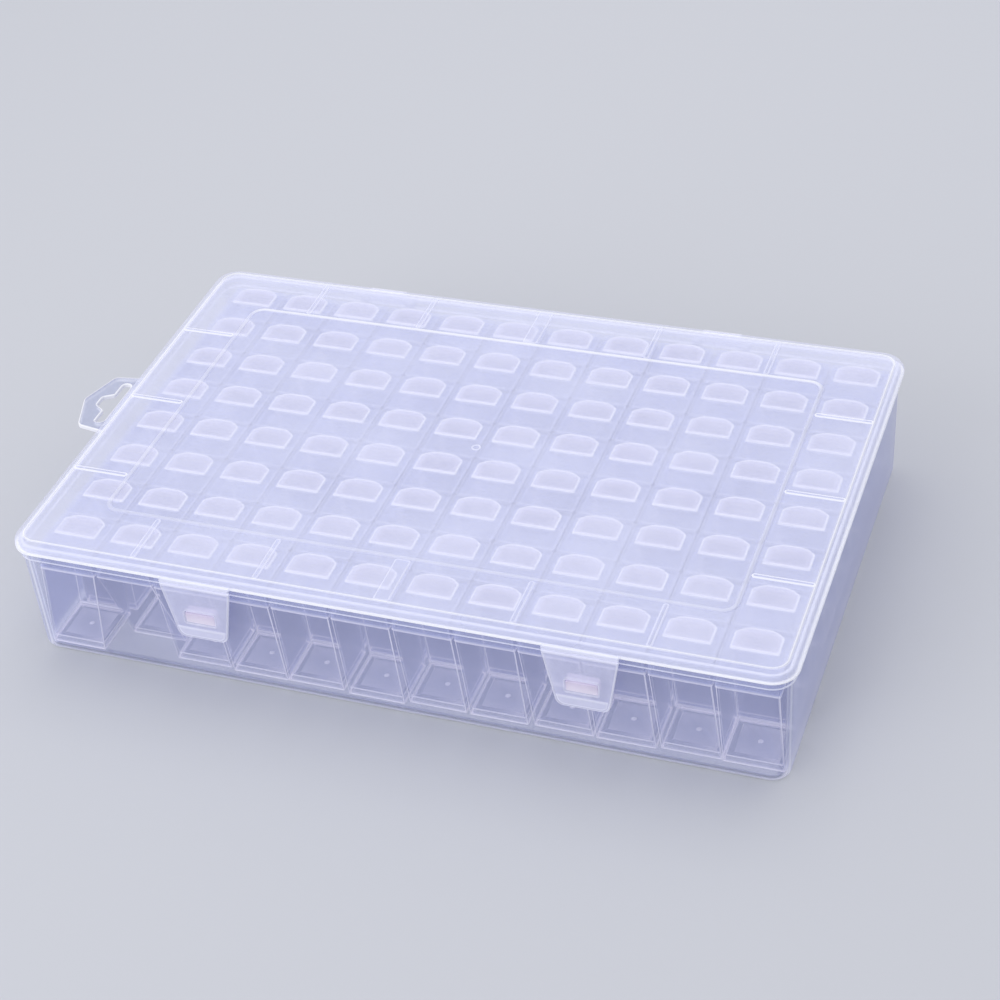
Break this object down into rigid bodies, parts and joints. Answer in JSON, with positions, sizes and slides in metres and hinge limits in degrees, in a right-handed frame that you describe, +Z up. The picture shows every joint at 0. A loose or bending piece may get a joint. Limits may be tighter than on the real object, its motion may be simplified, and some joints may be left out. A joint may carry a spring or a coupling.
{
  "type": "compartment organizer box",
  "caption": "Flat translucent hinged storage case with swinging front latches and a side hang tab, filled with rows of small square lidded jars for beads or sewing notions.",
  "frame": {"origin": "centre of the tray's underside, without the hang tab", "axes": "+X to the right along the long side, away from the hang tab; +Y to the hinges; +Z up"},
  "size_m": [0.3558, 0.225, 0.06],
  "materials": {
    "tray_polypropylene": "translucent lavender, satin moulded",
    "lid_polypropylene": "milky translucent, fine satin grain",
    "latch_polypropylene": "milky translucent, smooth",
    "cup_polystyrene": "cloudy translucent, smooth",
    "cap_polypropylene": "milky translucent, smooth",
    "flap_polypropylene": "milky, smooth, bare top"
  },
  "bodies": {
    "case": {"case_base": "tray_polypropylene", "jar_cups_column_1": "cup_polystyrene", "jar_cups_column_2": "cup_polystyrene", "jar_cups_column_3": "cup_polystyrene", "jar_cups_column_4": "cup_polystyrene", "jar_cups_column_5": "cup_polystyrene", "jar_cups_column_6": "cup_polystyrene", "jar_cups_column_7": "cup_polystyrene", "jar_cups_column_8": "cup_polystyrene", "jar_cups_column_9": "cup_polystyrene", "jar_cups_column_10": "cup_polystyrene", "jar_cups_column_11": "cup_polystyrene", "jar_cups_column_12": "cup_polystyrene", "jar_caps_column_1": "cap_polypropylene", "jar_caps_column_2": "cap_polypropylene", "jar_caps_column_3": "cap_polypropylene", "jar_caps_column_4": "cap_polypropylene", "jar_caps_column_5": "cap_polypropylene", "jar_caps_column_6": "cap_polypropylene", "jar_caps_column_7": "cap_polypropylene", "jar_caps_column_8": "cap_polypropylene", "jar_caps_column_9": "cap_polypropylene", "jar_caps_column_10": "cap_polypropylene", "jar_caps_column_11": "cap_polypropylene", "jar_caps_column_12": "cap_polypropylene"},
    "lid": {"case_lid": "lid_polypropylene"},
    "left_latch": {"latch_left": "latch_polypropylene"},
    "right_latch": {"latch_right": "latch_polypropylene"},
    "flap_row_1": {"jar_flaps_row_1": "flap_polypropylene"},
    "flap_row_2": {"jar_flaps_row_2": "flap_polypropylene"},
    "flap_row_3": {"jar_flaps_row_3": "flap_polypropylene"},
    "flap_row_4": {"jar_flaps_row_4": "flap_polypropylene"},
    "flap_row_5": {"jar_flaps_row_5": "flap_polypropylene"},
    "flap_row_6": {"jar_flaps_row_6": "flap_polypropylene"},
    "flap_row_7": {"jar_flaps_row_7": "flap_polypropylene"},
    "flap_row_8": {"jar_flaps_row_8": "flap_polypropylene"}
  },
  "joints": [
    {"name": "lid_hinge", "type": "hinge", "parent": "case", "child": "lid", "pos_m": [0, 0.111, 0.051], "axis": [-1, 0, 0], "range_deg": [0, 180]},
    {"name": "latch_left_swing", "type": "hinge", "parent": "lid", "child": "left_latch", "pos_m": [-0.08, -0.11105, 0.05355], "axis": [-1, 0, 0], "range_deg": [0, 90]},
    {"name": "latch_right_swing", "type": "hinge", "parent": "lid", "child": "right_latch", "pos_m": [0.084, -0.11105, 0.05355], "axis": [-1, 0, 0], "range_deg": [0, 90]},
    {"name": "flap_row_1_swing", "type": "hinge", "parent": "case", "child": "flap_row_1", "pos_m": [0, -0.09161, 0.0537], "axis": [1, 0, 0], "range_deg": [0, 110]},
    {"name": "flap_row_2_swing", "type": "hinge", "parent": "case", "child": "flap_row_2", "pos_m": [0, -0.06573, 0.0537], "axis": [1, 0, 0], "range_deg": [0, 110]},
    {"name": "flap_row_3_swing", "type": "hinge", "parent": "case", "child": "flap_row_3", "pos_m": [0, -0.03984, 0.0537], "axis": [1, 0, 0], "range_deg": [0, 110]},
    {"name": "flap_row_4_swing", "type": "hinge", "parent": "case", "child": "flap_row_4", "pos_m": [0, -0.01395, 0.0537], "axis": [1, 0, 0], "range_deg": [0, 110]},
    {"name": "flap_row_5_swing", "type": "hinge", "parent": "case", "child": "flap_row_5", "pos_m": [0, 0.01194, 0.0537], "axis": [1, 0, 0], "range_deg": [0, 110]},
    {"name": "flap_row_6_swing", "type": "hinge", "parent": "case", "child": "flap_row_6", "pos_m": [0, 0.03782, 0.0537], "axis": [1, 0, 0], "range_deg": [0, 110]},
    {"name": "flap_row_7_swing", "type": "hinge", "parent": "case", "child": "flap_row_7", "pos_m": [0, 0.06371, 0.0537], "axis": [1, 0, 0], "range_deg": [0, 110]},
    {"name": "flap_row_8_swing", "type": "hinge", "parent": "case", "child": "flap_row_8", "pos_m": [0, 0.0896, 0.0537], "axis": [1, 0, 0], "range_deg": [0, 110]}
  ],
  "couplings": [
    {"joint": "flap_row_1_swing", "follows": "lid_hinge", "ratio": 0.61},
    {"joint": "flap_row_2_swing", "follows": "lid_hinge", "ratio": 0.61},
    {"joint": "flap_row_3_swing", "follows": "lid_hinge", "ratio": 0.61},
    {"joint": "flap_row_4_swing", "follows": "lid_hinge", "ratio": 0.61},
    {"joint": "flap_row_5_swing", "follows": "lid_hinge", "ratio": 0.61},
    {"joint": "flap_row_6_swing", "follows": "lid_hinge", "ratio": 0.61},
    {"joint": "flap_row_7_swing", "follows": "lid_hinge", "ratio": 0.61},
    {"joint": "flap_row_8_swing", "follows": "lid_hinge", "ratio": 0.61}
  ]
}
